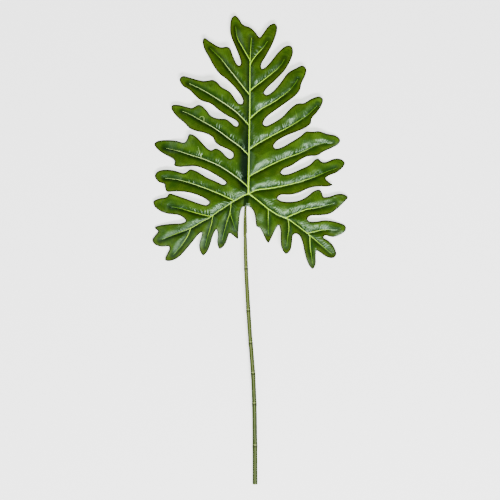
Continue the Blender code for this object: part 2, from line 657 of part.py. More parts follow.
def make_stalk(route, blade, material):
    """The leaf's own stalk: a keel under the midrib's base, a neck, and a sleeve cut off slantwise."""
    underside = underside_of(blade)
    sinus = SINUS_EDGE * SQUARE
    seated = np.linspace(STALK_PROFILE[0][0] * SQUARE, sinus, STALK_SEAT_STEPS)
    free = [y * SQUARE for y, _ in STALK_PROFILE if y < SINUS_EDGE]
    points, radii = [], []
    for y in [*seated, *free]:
        x, _, z = route.at(y)
        r = profile_radius(STALK_PROFILE, y)
        if y >= sinus:
            sides = np.linspace(-r, r, SEAT_PROBES)
            lowest = min(underside((x + side, y + along)) for side in sides for along in (-r, 0, r))
            z = lowest - SEAT_GAP - r
        points.append((x, y, z))
        radii.append(r)
    stalk = tube("stalk", points, radii, material)
    cut_away(stalk, bore_cutter(route))
    cut_away(stalk, slant_cutter(route))
    return stalk


def make_material(name, colour, roughness):
    material = bpy.data.materials.new(name)
    material.use_nodes = True
    shader = material.node_tree.nodes["Principled BSDF"]
    shader.inputs["Base Color"].default_value = (*colour, 1)
    shader.inputs["Roughness"].default_value = roughness
    shader.inputs["Metallic"].default_value = 0
    return material


def clear_scene():
    for obj in list(bpy.data.objects):
        bpy.data.objects.remove(obj)


def new_collection(name):
    collection = bpy.data.collections.new(name)
    bpy.context.scene.collection.children.link(collection)
    return collection


def centre_on_footprint():
    """Places every object so that the middle of the leaf's footprint is the frame's origin."""
    places = np.array([v.co[:] for obj in leaf_collection.objects for v in obj.data.vertices])
    low, high = places.min(0), places.max(0)
    middle = (low + high) / 2
    for obj in bpy.data.objects:
        obj.location = (-middle[0], -middle[1], -low[2])


clear_scene()
leaf_collection = new_collection("philodendron_leaf")
cutter_collection = new_collection("cutters")
leaf_form = LeafForm()
stem_route = StemRoute(leaf_form)
sheet = leaf_sheet(leaf_form)
leaf_blade = make_blade(leaf_form, sheet, make_material("blade_green", (0.06, 0.16, 0.006), 0.3))
make_ribs(leaf_form, sheet, make_material("rib_pale", (0.45, 0.68, 0.2), 0.4))
make_stalk(stem_route, leaf_blade, make_material("stalk_olive", (0.26, 0.3, 0.11), 0.45))
make_stem(stem_route, make_material("stem_green", (0.2, 0.28, 0.08), 0.45))
centre_on_footprint()
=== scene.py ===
"""The looks of a split-philodendron leaf: fine blade, ribs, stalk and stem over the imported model.

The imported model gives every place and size. The blade is its face, cut finer and smoothed
between the ribs. The rib lines are read from the crest of its rib network.
"""

import functools
import heapq
import math

import bmesh
import bpy
import numpy as np
from bpy.props import FloatProperty, FloatVectorProperty, PointerProperty
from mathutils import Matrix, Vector, noise
from mathutils.bvhtree import BVHTree
from mathutils.kdtree import KDTree


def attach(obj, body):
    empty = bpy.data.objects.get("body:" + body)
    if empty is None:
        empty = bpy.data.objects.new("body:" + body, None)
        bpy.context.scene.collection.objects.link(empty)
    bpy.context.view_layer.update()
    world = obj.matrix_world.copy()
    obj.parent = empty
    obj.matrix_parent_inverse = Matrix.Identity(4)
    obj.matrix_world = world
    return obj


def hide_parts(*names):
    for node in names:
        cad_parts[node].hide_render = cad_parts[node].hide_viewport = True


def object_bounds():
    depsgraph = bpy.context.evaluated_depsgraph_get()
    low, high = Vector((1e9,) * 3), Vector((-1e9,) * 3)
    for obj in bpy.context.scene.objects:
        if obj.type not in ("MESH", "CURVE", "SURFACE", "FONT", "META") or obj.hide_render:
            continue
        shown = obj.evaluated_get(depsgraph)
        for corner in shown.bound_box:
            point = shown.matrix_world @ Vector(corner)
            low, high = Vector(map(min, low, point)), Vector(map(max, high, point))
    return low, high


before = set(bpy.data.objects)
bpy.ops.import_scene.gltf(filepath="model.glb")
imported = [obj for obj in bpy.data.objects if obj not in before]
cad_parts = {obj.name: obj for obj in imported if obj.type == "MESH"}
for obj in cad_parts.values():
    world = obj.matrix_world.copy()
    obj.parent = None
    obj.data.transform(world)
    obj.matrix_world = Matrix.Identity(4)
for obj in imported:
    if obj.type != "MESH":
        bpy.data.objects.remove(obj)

bl_info = {
    "name": "Philodendron Leaf",
    "version": (1, 0, 0),
    "blender": (4, 5, 0),
    "location": "3D View > Sidebar > Leaf",
    "description": "Builds a split-philodendron leaf on its jointed stem, and a pale stage for it",
    "category": "Add Mesh",
}

MM = 0.001
BODY = "root"
WELD = 1e-6
UPRIGHT = 1e-3
SHARP = math.radians(50)
RING_GAP = 0.45 * MM
RING_CORNERS = 6
CAD_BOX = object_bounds()


def srgb(red, green, blue):
    """A screen colour, 0 to 255, as the linear values that shaders use."""
    parts = (red / 255, green / 255, blue / 255)
    return tuple(p / 12.92 if p <= 0.04045 else ((p + 0.055) / 1.055) ** 2.4 for p in parts)


def length(name, description, default, digits=4):
    return FloatProperty(
        name=name, description=description, default=default, min=0, unit="LENGTH", precision=digits)


def colour(name, description, default):
    return FloatVectorProperty(
        name=name, description=description, default=default, size=3, subtype="COLOR", min=0, max=1)


def rise(at, low, high):
    """0 at low, 1 at high and a smooth step between; with high under low it falls."""
    part = min(max((at - low) / (high - low), 0), 1)
    return part * part * (3 - 2 * part)


def share(name, description, default):
    return FloatProperty(
        name=name, description=description, default=default, min=0, max=1, subtype="FACTOR")


def amount(name, description, default, least=0):
    return FloatProperty(name=name, description=description, default=default, min=least)


class BladeSettings(bpy.types.PropertyGroup):
    cell: length("Cell", "Mesh edges on the blade longer than this are halved", 2.3 * MM)
    thickness: length("Thickness", "How thick the sheet is between its ribs", 0.9 * MM)
    keel: length("Keel", "How much thicker the sheet is under a rib", 0.7 * MM)
    groove: length("Groove", "How much deeper the sheet folds in on the lower side of a rib", 1.2 * MM)
    groove_run: length("Groove run", "How far from a rib that fold reaches", 2.4 * MM)
    valley: length("Valley", "How much deeper the ribs lie than in the packed model", 1.3 * MM)
    hollow: length("Hollow", "How much deeper the sheet falls to the left of the midrib", 1.8 * MM)
    bulge: length("Bulge", "Height of the slow swellings between the ribs", 1.0 * MM)
    lift: length("Lift", "How far the edges of the widest lobes curl up", 2.2 * MM)
    pucker: length("Pucker", "Height of the puckers along a rib", 1.1 * MM)
    pucker_run: length("Pucker run", "Distance from one pucker to the next along a rib", 4.8 * MM)
    comb: length("Comb", "Distance from one fine side vein to the next", 3.6 * MM)
    margin: length("Margin", "Width of the brown line along the edge", 2.4 * MM)
    leaf: colour("Leaf green", "Main colour of the face", srgb(31, 62, 8))
    young: colour("Young green", "Yellower green towards the edge", srgb(60, 80, 10))
    # Fresh green comes in random patches, partly painted light: more of it on the lit side of the
    # ribs.
    fresh: colour("Fresh green", "Light yellow-green patches", srgb(76, 110, 14))
    # Deep green is painted shade beside the ribs, most on their shaded side; it also darkens the fine
    # side veins and the blade over the stalk.
    deep: colour("Deep green", "Dark green beside the ribs", srgb(8, 29, 5))
    # This colour is painted shade: blackish green in a band to the left of the midrib.
    strip: colour("Strip", "Blackish green to the left of the midrib", srgb(2, 17, 7))
    edge: colour("Edge brown", "Colour of the line along the edge", srgb(26, 26, 5))
    back: colour("Back green", "Paler green of the underside", srgb(92, 124, 50))
    gloss: share("Gloss roughness", "Roughness of the smooth face", 0.26)


class RibSettings(bpy.types.PropertyGroup):
    pale: colour("Pale lime", "Colour of the ribs", srgb(182, 240, 44))
    # This colour is a painted highlight: whiter ribs on the upper left.
    bright: colour("Bright lime", "Whiter colour of the upper ribs on the left", srgb(218, 255, 150))
    olive: colour("Olive", "Colour of the ribs' sides and roots", srgb(112, 145, 10))
    green: colour("Green", "Colour that the ribs fade to at their ends", srgb(80, 130, 10))
    twig: length("Twig width", "Width of a side twig at its root", 0.6 * MM)


class StalkSettings(bpy.types.PropertyGroup):
    olive: colour("Olive", "Colour of the stalk and its sleeve", srgb(80, 92, 38))
    shade: colour("Shade", "Darker olive of the grooves", srgb(56, 66, 24))
    lip: colour("Lip", "Pale colour of the collar and the sleeve's lip", srgb(124, 130, 72))
    wall: length("Wall", "How thick the sleeve is at its mouth", 0.55 * MM)
    depth: length("Depth", "How deep the sleeve's mouth goes", 9.0 * MM)


class StemSettings(bpy.types.PropertyGroup):
    upper: colour("Upper green", "Colour of the stem near the leaf", srgb(76, 88, 32))
    lower: colour("Lower green", "Colour of the stem near its cut end", srgb(37, 54, 10))
    # This colour is painted shade on both round sides of the stem.
    painted_flank_shade: colour("Flank", "Darker olive of the stem's sides", srgb(46, 60, 18))
    # The groove colour is painted shade: a dark line along the stem and a dark ring in the groove of
    # each joint.
    groove: colour("Groove", "Dark line round each joint", srgb(22, 28, 6))
    # This colour is a painted highlight: the pale line along the stem and the pale mark just above
    # each joint.
    painted_stem_highlight: colour("Spot", "Pale mark just above each joint", srgb(190, 206, 130))
    cut: colour("Cut end", "Paler green of the cut end", srgb(92, 106, 60))
    swell: length("Swell", "How far the stem swells on both sides of a joint", 0.35 * MM)
    flute: length("Flute", "Depth of the shallow grooves along the stem", 0.12 * MM)


class StageSettings(bpy.types.PropertyGroup):
    view: length("View", "Width of floor that the camera takes in", 0.7484, 3)
    lens: amount("Lens", "Focal length in millimetres", 100, 1)
    floor: colour("Floor", "Colour of the floor", (0.86, 0.86, 0.86))
    glow: amount("Glow", "How much the floor shines by itself", 2.0)
    key: amount("Key", "Power of the key light in watts", 210)
    fill: amount("Fill", "Power of the left fill light in watts; the right one has a sixth of it", 26)
    world: amount("World", "Strength of the light from all round", 0.06)


# Where the midrib meets the two basal ribs, seen from above.
RIB_JOINT = (-2.9 * MM, 84.1 * MM)

# The size of a photograph's pixel on the model, and its column and row at the model's middle.
PIXEL = 1.4967 * MM
PHOTO_MIDDLE = (249.96, 250.16)

# The short twigs beside the ribs, by columns and rows of the photograph.
TWIGS = {
    "right_3_upper": [(301.5, 149.5), (303, 141)],
    "left_4_upper": [(201.5, 158), (198, 147)],
    "left_3_hook": [(204, 122), (204, 118), (201, 117.5), (200, 119)],
    "right_2_a": [(291.5, 123), (289, 120.5)],
    "right_2_b": [(297, 118.5), (295, 112)],
    "right_4_a": [(312.5, 176.5), (315, 170)],
    "right_6_a": [(301, 208.5), (302.5, 205)],
    "right_6_b": [(308, 207), (312.5, 202.5)],
    "basal_right_a": [(297, 222), (300, 224.5), (303, 227), (305.5, 229.5)],
    "basal_right_b": [(311, 236), (317, 241)],
}

# Rows of the photograph with the radius in millimetres there, of the stalk, stem and hidden peg.
STALK_RADII = [
    (181, 0.9), (182, 1.2), (188, 1.6), (194, 1.9), (207, 1.95), (215.4, 2.05), (215.9, 2.2),
    (216.3, 2.55), (216.7, 2.53), (217.1, 2.4), (220.4, 2.5), (227, 2.8), (235, 2.95), (238.5, 2.95),
]
STEM_RADII = [(238.3, 2.66), (260, 3.0), (302, 3.25), (352, 3.35), (412, 3.6), (484, 3.8)]
PEG_RADII = [(230.5, 1.8), (230.8, 2.2), (237.6, 2.2), (238, 2.5)]

# The rows of the collar and of the stem's joints, and the two ends of the sleeve's slanted mouth.
COLLAR_ROW = 216.5
STEM_JOINTS = [268.9, 310.9, 343.3, 373.7, 404.2, 446.2]
SLEEVE_MOUTH = [(243.7, 237), (246.7, 233.8)]

# A joint's shape: millimetres from its ring towards the leaf, and the share of the swell there.
JOINT_SHAPE = [
    (6, 0), (4.6, 0.3), (3.6, 0.6), (3.1, 0.5), (2.85, -1.3), (2.35, -1.3), (2.1, 0.6), (1.5, 0.95),
    (0.8, 1), (0.3, 0.8), (0, 0), (-0.3, 0.6), (-0.8, 0.8), (-2, 0.45), (-4, 0.12), (-6, 0),
]


def from_column(column):
    """The x in the model of a column of the photograph."""
    return (column - PHOTO_MIDDLE[0]) * PIXEL


def from_row(row):
    """The y in the model of a row of the photograph."""
    return (PHOTO_MIDDLE[1] - row) * PIXEL


class Value:
    """A shader socket in an expression: each operator adds the Math node that it stands for."""

    def __init__(self, tree, socket):
        self.tree = tree
        self.socket = socket

    def math(self, operation, *others):
        node = self.tree.nodes.new("ShaderNodeMath")
        node.operation = operation
        for place, part in zip(node.inputs, (self, *others)):
            put(self.tree, place, part)
        return Value(self.tree, node.outputs[0])

    def __add__(self, other):
        return self.math("ADD", other)

    def __mul__(self, other):
        return self.math("MULTIPLY", other)

    def __sub__(self, other):
        return self.math("SUBTRACT", other)

    def __rsub__(self, other):
        return (self * -1) + other

    __radd__ = __add__
    __rmul__ = __mul__

    def step(self, low, high):
        """0 up to low, 1 from high on, and a smooth rise between; with high under low it falls."""
        node = self.tree.nodes.new("ShaderNodeMapRange")
        node.interpolation_type = "SMOOTHSTEP"
        ends = (low, high, 0, 1) if low < high else (high, low, 1, 0)
        for place, part in zip(node.inputs, (self, *ends)):
            put(self.tree, place, part)
        return Value(self.tree, node.outputs[0])


def put(tree, place, part):
    """Sets a node's socket to a number or a colour, or links a value to it."""
    if isinstance(part, Value):
        tree.links.new(part.socket, place)
    elif place.type == "RGBA":
        place.default_value = (*tuple(part)[:3], 1)
    else:
        place.default_value = part


class Finish:
    """One finish: a Principled material, and a method that adds any other node."""

    def __init__(self, name):
        self.material = bpy.data.materials.new(name)
        self.material.use_nodes = True
        self.tree = self.material.node_tree
        self.surface = self.tree.nodes["Principled BSDF"]
        self.place = self.node("ShaderNodeTexCoord", {}, {}, "Object")

    def node(self, kind, settings, sockets, output=0):
        made = self.tree.nodes.new(kind)
        for name, setting in settings.items():
            setattr(made, name, setting)
        for name, part in sockets.items():
            put(self.tree, made.inputs[name], part)
        return Value(self.tree, made.outputs[output])

    def attribute(self, name):
        return self.node("ShaderNodeAttribute", {"attribute_name": name}, {}, "Fac")

    def along(self, axis):
        """How far along the model's X or Y axis a place is, in metres."""
        return self.node("ShaderNodeSeparateXYZ", {}, {"Vector": self.place}, axis)

    def noise(self, scale, detail, stretch=None):
        """Cloudy noise from 0 to 1 with the given number of clouds a metre."""
        place = self.place
        if stretch:
            place = self.node("ShaderNodeMapping", {}, {"Vector": place, "Scale": stretch})
        sockets = {"Vector": place, "Scale": scale, "Detail": detail}
        return self.node("ShaderNodeTexNoise", {}, sockets)

    def mix(self, factor, first, second):
        sockets = {0: factor, 6: first, 7: second}
        return self.node("ShaderNodeMix", {"data_type": "RGBA"}, sockets, 2)

    def relief(self, height, distance, strength):
        sockets = {"Height": height, "Distance": distance, "Strength": strength}
        return self.node("ShaderNodeBump", {}, sockets, "Normal")

    def wear(self, **sockets):
        """Gives the Principled shader its sockets, named with underscores for spaces."""
        for name, part in sockets.items():
            put(self.tree, self.surface.inputs[name.replace("_", " ")], part)
        return self.material


def merged_copy(node):
    """A CAD node's mesh, with its loose triangles welded."""
    bm = bmesh.new()
    bm.from_mesh(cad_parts[node].data)
    bmesh.ops.remove_doubles(bm, verts=bm.verts[:], dist=WELD)
    bm.normal_update()
    return bm


def keep_upper_skin(bm):
    """Leaves only the faces that look up, steep ones too, and not the upright rim."""
    rest = [face for face in bm.faces if face.normal.z < UPRIGHT]
    bmesh.ops.delete(bm, geom=rest, context="FACES")


def height_over(bm):
    """A function from a place on the floor to the height of the mesh's top over it, or None."""
    tree = BVHTree.FromBMesh(bm)

    def height(x, y):
        return tree.ray_cast(Vector((x, y, 1)), Vector((0, 0, -1)))[0]

    return height


def smooth_line(points, step):
    """Points at about the given step along a smooth curve through the given ones."""
    p = np.array(points, float)
    longer = np.vstack([2 * p[0] - p[1], p, 2 * p[-1] - p[-2]])
    made = []
    for a, b, c, d in zip(longer[:-3], longer[1:-2], longer[2:-1], longer[3:]):
        gaps = [max(np.linalg.norm((v - u)[:2]), WELD) ** 0.5 for u, v in ((a, b), (b, c), (c, d))]
        k = np.cumsum([0] + gaps)
        count = max(1, round(np.linalg.norm((c - b)[:2]) / step))
        t = np.linspace(k[1], k[2], count, endpoint=False)[:, None]
        ab = ((k[1] - t) * a + (t - k[0]) * b) / (k[1] - k[0])
        bc = ((k[2] - t) * b + (t - k[1]) * c) / (k[2] - k[1])
        cd = ((k[3] - t) * c + (t - k[2]) * d) / (k[3] - k[2])
        abc = ((k[2] - t) * ab + (t - k[0]) * bc) / (k[2] - k[0])
        bcd = ((k[3] - t) * bc + (t - k[1]) * cd) / (k[3] - k[1])
        made.append(((k[2] - t) * abc + (t - k[1]) * bcd) / (k[2] - k[1]))
    made.append(p[-1:])
    return np.vstack(made)


class Nearest:
    """Finds the nearest of many places seen from above, and its number."""

    def __init__(self, places):
        self.tree = KDTree(len(places))
        for number, place in enumerate(places):
            self.tree.insert((place[0], place[1], 0), number)
        self.tree.balance()

    def find(self, x, y):
        _, number, gap = self.tree.find((x, y, 0))
        return gap, number


class Skeleton:
    """The rib lines and the edge of the leaf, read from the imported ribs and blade."""

    SAMPLE = 0.4 * MM
    RIB_SEAT = 0.3 * MM
    RIB_RISE = 0.84
    SHORTEST = 15 * MM

    def __init__(self):
        blade = merged_copy("blade")
        keep_upper_skin(blade)
        self.cad_height = height_over(blade)
        self.read_edge(blade)
        blade.free()
        self.read_ribs()
        self.rib_places = np.vstack([line[:, :2] for line in self.lines])
        self.rib_widths = np.concatenate([line[:, 2] for line in self.lines])
        self.rib_runs = np.concatenate([line[:, 3] for line in self.lines])
        self.nearest_rib = Nearest(self.rib_places)

    def read_edge(self, blade):
        """The blade's straight-edged border, and how far a smooth curve lies from each place."""
        border = {v: [e.other_vert(v) for e in v.link_edges if e.is_boundary] for v in blade.verts}
        first = min((v for v in border if border[v]), key=lambda v: (v.co.y, v.co.x))
        loop = [first]
        last, here = first, border[first][0]
        while here != first:
            loop.append(here)
            last, here = here, next(v for v in border[here] if v != last)
        corners = np.array([v.co[:2] for v in loop])
        smooth, straight = [], []
        for a, b, c, d in zip(*(np.roll(corners, turn, 0) for turn in (1, 0, -1, -2))):
            curve = smooth_line([a, b, c, d], self.SAMPLE)
            count = len(smooth_line([b, c], self.SAMPLE))
            start = len(smooth_line([a, b], self.SAMPLE)) - 1
            smooth.append(curve[start:start + count - 1])
            straight.append(np.linspace(b, c, count)[:-1])
        self.edge_places = np.vstack(straight)
        self.edge_shifts = np.vstack(smooth) - self.edge_places
        self.nearest_edge = Nearest(self.edge_places)

    def read_ribs(self):
        """Each rib as rows of x, y, half width and distance from the rib joint."""
        ribs = merged_copy("ribs")
        keep_upper_skin(ribs)
        inner = [v for v in ribs.verts if v.link_faces and not v.is_boundary]
        joint = min(inner, key=lambda v: (v.co.xy - Vector(RIB_JOINT)).length)
        run, before = {joint: 0.0}, {}
        waiting = [(0.0, joint.index, joint)]
        while waiting:
            at, _, here = heapq.heappop(waiting)
            if at > run[here]:
                continue
            for edge in here.link_edges:
                there = edge.other_vert(here)
                reach = at + (there.co.xy - here.co.xy).length
                if not there.is_boundary and reach < run.get(there, math.inf):
                    run[there], before[there] = reach, here
                    heapq.heappush(waiting, (reach, there.index, there))
        self.lines = []
        used = {joint}
        for tip in sorted(run, key=run.get, reverse=True):
            line = [tip]
            while line[-1] not in used and line[-1] in before:
                used.add(line[-1])
                line.append(before[line[-1]])
            if run[tip] - run[line[-1]] > self.SHORTEST:
                self.lines.append(self.rib_rows(line[::-1], run))
        ribs.free()

    def rib_rows(self, line, run):
        rows = []
        for vert in line:
            crest = vert.co.z - self.cad_height(vert.co.x, vert.co.y).z - self.RIB_SEAT
            rows.append((vert.co.x, vert.co.y, crest / self.RIB_RISE, run[vert]))
        tip, last = line[-1], line[-2]
        way = (tip.co.xy - last.co.xy).normalized()
        round_tip = [edge.other_vert(tip) for edge in tip.link_edges]
        end = max(round_tip, key=lambda vert: (vert.co.xy - tip.co.xy).dot(way))
        rows.append((end.co.x, end.co.y, rows[-1][2], run[tip] + (end.co.xy - tip.co.xy).length))
        return smooth_line(rows, self.SAMPLE)


@functools.cache
def skeleton():
    return Skeleton()


class Surface:
    """The blade's upper face as a fine sheet, with where each place is between rib and edge.

    Its layers are in millimetres, but for rib_side, which runs from 1 on the lit side of a rib,
    towards the leaf's tip and right, to -1 on its other side.
    """

    EDGE_EASE = 6 * MM
    ROUNDS = 4
    FINE_REACH = 11 * MM
    FINE = 0.72
    COARSE = 1.2
    SMOOTHINGS = 40
    RIB_MARGIN = 0.3 * MM
    THIN = 0.45
    LIT_WAY = Vector((0.5, 0.87))
    MIDRIB = 0
    LAYERS = ("rib_gap", "rib_run", "rib_width", "rib_side", "edge_gap", "stalk_gap", "midrib_side")

    # Between which values each form comes in or goes: millimetres, but rib_side for SHADED.
    SHADED = (0.25, -0.15)
    STRONG_RIB = (0.36, 0.6)
    PUCKERED_RIB = (0.4, 0.62)
    PUCKER_START = (0, 2)
    FOLD_OFF_STALK = (2.5, 7)
    DIP_OFF_STALK = (2.5, 9)
    HOLLOW_START = (0.4, 1.8)

    # Where along the leaf the hollow beside the midrib begins and ends, in metres.
    HOLLOW_FOOT = (0.08, 0.1)
    HOLLOW_TOP = (0.29, 0.22)

    # How far from its rib each form reaches, in millimetres.
    PUCKER_REACH = 8
    VALLEY_REACH = 6
    BULGE_REACH = 6
    HOLLOW_REACH = 9

    # How near the edge each form starts to die away, in millimetres.
    FOLD_EDGE = 4
    PUCKER_EDGE = 4
    VALLEY_EDGE = 6
    BULGE_EDGE = 5
    HOLLOW_EDGE = 5

    # The share of a rib's half width at which its fold starts.
    UNDER_RIB = 0.3

    # The width in millimetres and the height in metres from which a lobe curls up in full.
    WIDEST = 15
    LOWEST = 6 * MM

    # The puckers' slant, blunt crests, least height far from a rib, and share on its shaded side.
    PUCKER_SLANT = 0.7
    PUCKER_BLUNT = 0.7
    PUCKER_LEAST = 0.12
    PUCKER_SHADED = 0.25

    # The noises that make the forms uneven: their clouds a metre, then how much each one adds.
    WANDER = 90
    WANDER_RUN = 1.6
    CHANGE = 45
    CHANGE_MIDDLE = 0.6
    CHANGE_RANGE = 0.8
    BULGES = 60
    BULGE_PLACE = Vector((7, 0, 0))

    def __init__(self, settings):
        self.sheet = merged_copy("blade")
        keep_upper_skin(self.sheet)
        self.refine(settings.cell)
        self.layers = {name: self.sheet.verts.layers.float.new(name) for name in self.LAYERS}
        self.round_edge()
        self.measure()
        self.smooth()
        self.pucker(settings)
        self.height = height_over(self.sheet)

    def refine(self, cell):
        """Halves long edges round after round, finest on the lit side of the ribs."""
        bones = skeleton()

        def allowed(edge):
            middle = (edge.verts[0].co.xy + edge.verts[1].co.xy) / 2
            gap, number = bones.nearest_rib.find(*middle)
            away = middle - Vector(bones.rib_places[number])
            fine = gap < self.FINE_REACH and away.dot(self.LIT_WAY) > 0
            return cell * (self.FINE if fine else self.COARSE)

        for _ in range(self.ROUNDS):
            long = [edge for edge in self.sheet.edges if edge.calc_length() > allowed(edge)]
            bmesh.ops.subdivide_edges(self.sheet, edges=long, cuts=1, use_single_edge=True)
            cut = [face for face in self.sheet.faces if len(face.verts) > 3]
            bmesh.ops.triangulate(self.sheet, faces=cut)

    def round_edge(self):
        """Moves the straight pieces of the edge onto a smooth curve, and the sheet after them."""
        bones = skeleton()
        for vert in self.sheet.verts:
            gap, number = bones.nearest_edge.find(vert.co.x, vert.co.y)
            if gap < self.EDGE_EASE:
                vert.co.xy += Vector(bones.edge_shifts[number]) * (1 - gap / self.EDGE_EASE) ** 2
        self.edge = Nearest(bones.edge_places + bones.edge_shifts)

    def measure(self):
        """Notes at each place how far it is from the ribs, the edge, the stalk and the midrib."""
        bones = skeleton()
        stalk = Nearest(stalk_line())
        midrib = bones.lines[self.MIDRIB]
        for vert in self.sheet.verts:
            x, y = vert.co.xy
            gap, number = bones.nearest_rib.find(x, y)
            away = (vert.co.xy - Vector(bones.rib_places[number])).normalized()
            facts = {
                "rib_gap": gap / MM,
                "rib_run": bones.rib_runs[number] / MM,
                "rib_width": bones.rib_widths[number] / MM,
                "rib_side": away.dot(self.LIT_WAY),
                "edge_gap": 0 if vert.is_boundary else self.edge.find(x, y)[0] / MM,
                "stalk_gap": stalk.find(x, y)[0] / MM,
                "midrib_side": (x - np.interp(y, midrib[:, 1], midrib[:, 0])) / MM,
            }
            for name, fact in facts.items():
                vert[self.layers[name]] = fact

    def smooth(self):
        """Rounds the flat facets between the ribs and the edge, which keep their heights."""
        gap, width = self.layers["rib_gap"], self.layers["rib_width"]
        margin = self.RIB_MARGIN / MM
        inner = [vert for vert in self.sheet.verts if not vert.is_boundary]
        loose = [v for v in inner if v[gap] > v[width] + margin or v[width] < self.THIN]
        for _ in range(self.SMOOTHINGS):
            bmesh.ops.smooth_vert(self.sheet, verts=loose, factor=0.5, use_axis_z=True)

    def pucker(self, settings):
        """Folds the sheet in under each rib, curls its edges up, and puckers it along the ribs."""
        for vert in self.sheet.verts:
            at = {name: vert[layer] for name, layer in self.layers.items()}
            shade = rise(at["rib_side"], *self.SHADED)
            fold = self.fold(at, shade, settings)
            curl = self.curl(at, vert.co.z)
            puckers = self.puckers(at, shade, vert.co, settings)
            bulge = self.bulge(at, vert.co)
            dip = settings.valley * self.valley(at) + settings.hollow * self.hollow(at, vert.co.y)
            vert.co.z += settings.lift * curl - settings.groove * fold
            vert.co.z += settings.pucker * puckers + settings.bulge * bulge
            vert.co.z -= dip * rise(at["stalk_gap"], *self.DIP_OFF_STALK)

    def fold(self, at, shade, settings):
        """The fold beside a rib, on its shaded side."""
        near, width = at["rib_gap"], at["rib_width"]
        under = rise(near, width * self.UNDER_RIB, width) * rise(width, *self.STRONG_RIB)
        under *= math.exp(-max(near - width, 0) * MM / settings.groove_run)
        under *= rise(at["stalk_gap"], *self.FOLD_OFF_STALK)
        return under * shade * min(at["edge_gap"] / self.FOLD_EDGE, 1)

    def curl(self, at, height):
        """The lift towards the edge, most on wide lobes, and less where the leaf lies low."""
        near, out = at["rib_gap"], at["edge_gap"]
        outward = near / max(near + out, WELD)
        return min((near + out) / self.WIDEST, 1) * outward**2 * min(height / self.LOWEST, 1)

    def puckers(self, at, shade, place, settings):
        """The row of puckers along a rib, strongest on its lit side."""
        near = at["rib_gap"]
        wander = noise.noise(place * self.WANDER) * self.WANDER_RUN
        along = (at["rib_run"] - self.PUCKER_SLANT * near) * MM / settings.pucker_run + wander
        pillow = abs(math.sin(math.pi * along)) ** self.PUCKER_BLUNT
        swell = math.exp(-((near / self.PUCKER_REACH) ** 2)) + self.PUCKER_LEAST
        swell *= rise(near, *self.PUCKER_START) * min(at["edge_gap"] / self.PUCKER_EDGE, 1)
        swell *= self.PUCKER_SHADED + (1 - self.PUCKER_SHADED) * (1 - shade)
        swell *= self.CHANGE_MIDDLE + self.CHANGE_RANGE * noise.noise(place * self.CHANGE)
        return swell * rise(at["rib_width"], *self.PUCKERED_RIB) * (pillow - 0.5)

    def bulge(self, at, place):
        """The slow swellings between the ribs."""
        swelling = noise.noise(place * self.BULGES + self.BULGE_PLACE)
        inward = min(at["edge_gap"] / self.BULGE_EDGE, 1)
        return swelling * min(at["rib_gap"] / self.BULGE_REACH, 1) * inward

    def valley(self, at):
        """The dip that a strong rib lies in."""
        inward = min(at["edge_gap"] / self.VALLEY_EDGE, 1)
        strong = rise(at["rib_width"], *self.STRONG_RIB)
        return math.exp(-at["rib_gap"] / self.VALLEY_REACH) * inward * strong

    def hollow(self, at, y):
        """The fall to the left of the midrib."""
        left = max(-at["midrib_side"], 0)
        inward = min(at["edge_gap"] / self.HOLLOW_EDGE, 1)
        fall = rise(left, *self.HOLLOW_START) * math.exp(-left / self.HOLLOW_REACH) * inward
        return fall * rise(y, *self.HOLLOW_FOOT) * rise(y, *self.HOLLOW_TOP)


@functools.cache
def surface():
    return Surface(bpy.context.scene.leaf_blade)


def ring_middles(node):
    """The middle of each ring of a long round CAD node, as rows of x, y and z from low y."""
    places = np.array([v.co[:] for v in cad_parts[node].data.vertices])
    places = places[np.argsort(places[:, 1])]
    rings = np.split(places, np.flatnonzero(np.diff(places[:, 1]) > RING_GAP) + 1)
    return np.array([(ring.min(0) + ring.max(0)) / 2 for ring in rings if len(ring) >= RING_CORNERS])


@functools.cache
def stalk_line():
    """The middle line of the stem, and of the stalk from the stem's top on."""
    stem, stalk = ring_middles("stem"), ring_middles("stalk")
    over = stalk[:, 1] > stem[-1, 1] + 2 * MM
    return smooth_line(np.vstack([stem, stalk[over]]), MM)


def bar_rows(radii, ys):
    """Rows of x, y, z and radius for a round bar along the stalk and stem."""
    line = stalk_line()
    x, z = (np.interp(ys, line[:, 1], line[:, axis]) for axis in (0, 2))
    marks = np.array([(from_row(row), radius * MM) for row, radius in radii])[::-1]
    return np.column_stack([x, ys, z, np.interp(ys, *marks.T)])


def tubes(name, lines, sides):
    """Round bars, of an even number of sides, along lines of x, y, z and radius rows."""
    curve = bpy.data.curves.new(name, "CURVE")
    curve.dimensions = "3D"
    curve.twist_mode = "Z_UP"
    curve.bevel_depth = MM
    curve.bevel_resolution = sides // 2 - 2
    curve.use_fill_caps = True
    for line in lines:
        bar = curve.splines.new("POLY")
        bar.points.add(len(line) - 1)
        for point, (x, y, z, radius) in zip(bar.points, line):
            point.co = (x, y, z, 1)
            point.radius = radius / MM
    obj = bpy.data.objects.new(name, curve)
    bpy.context.scene.collection.objects.link(obj)
    finished = obj.evaluated_get(bpy.context.evaluated_depsgraph_get())
    made = bpy.data.meshes.new_from_object(finished)
    bm = bmesh.new()
    bm.from_mesh(made)
    bmesh.ops.remove_doubles(bm, verts=bm.verts[:], dist=WELD)
    bmesh.ops.recalc_face_normals(bm, faces=bm.faces[:])
    bpy.data.objects.remove(obj)
    bpy.data.curves.remove(curve)
    bpy.data.meshes.remove(made)
    return bm


def as_piece(name, bm, finish, node):
    """Makes the bmesh an object that stands for its CAD node and has the finish."""
    mesh = bpy.data.meshes.new(name)
    bm.to_mesh(mesh)
    bm.free()
    mesh.shade_smooth()
    mesh.set_sharp_from_angle(angle=SHARP)
    mesh.materials.append(finish)
    piece = bpy.data.objects.new(name, mesh)
    bpy.context.scene.collection.objects.link(piece)
    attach(piece, BODY)
    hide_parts(node)


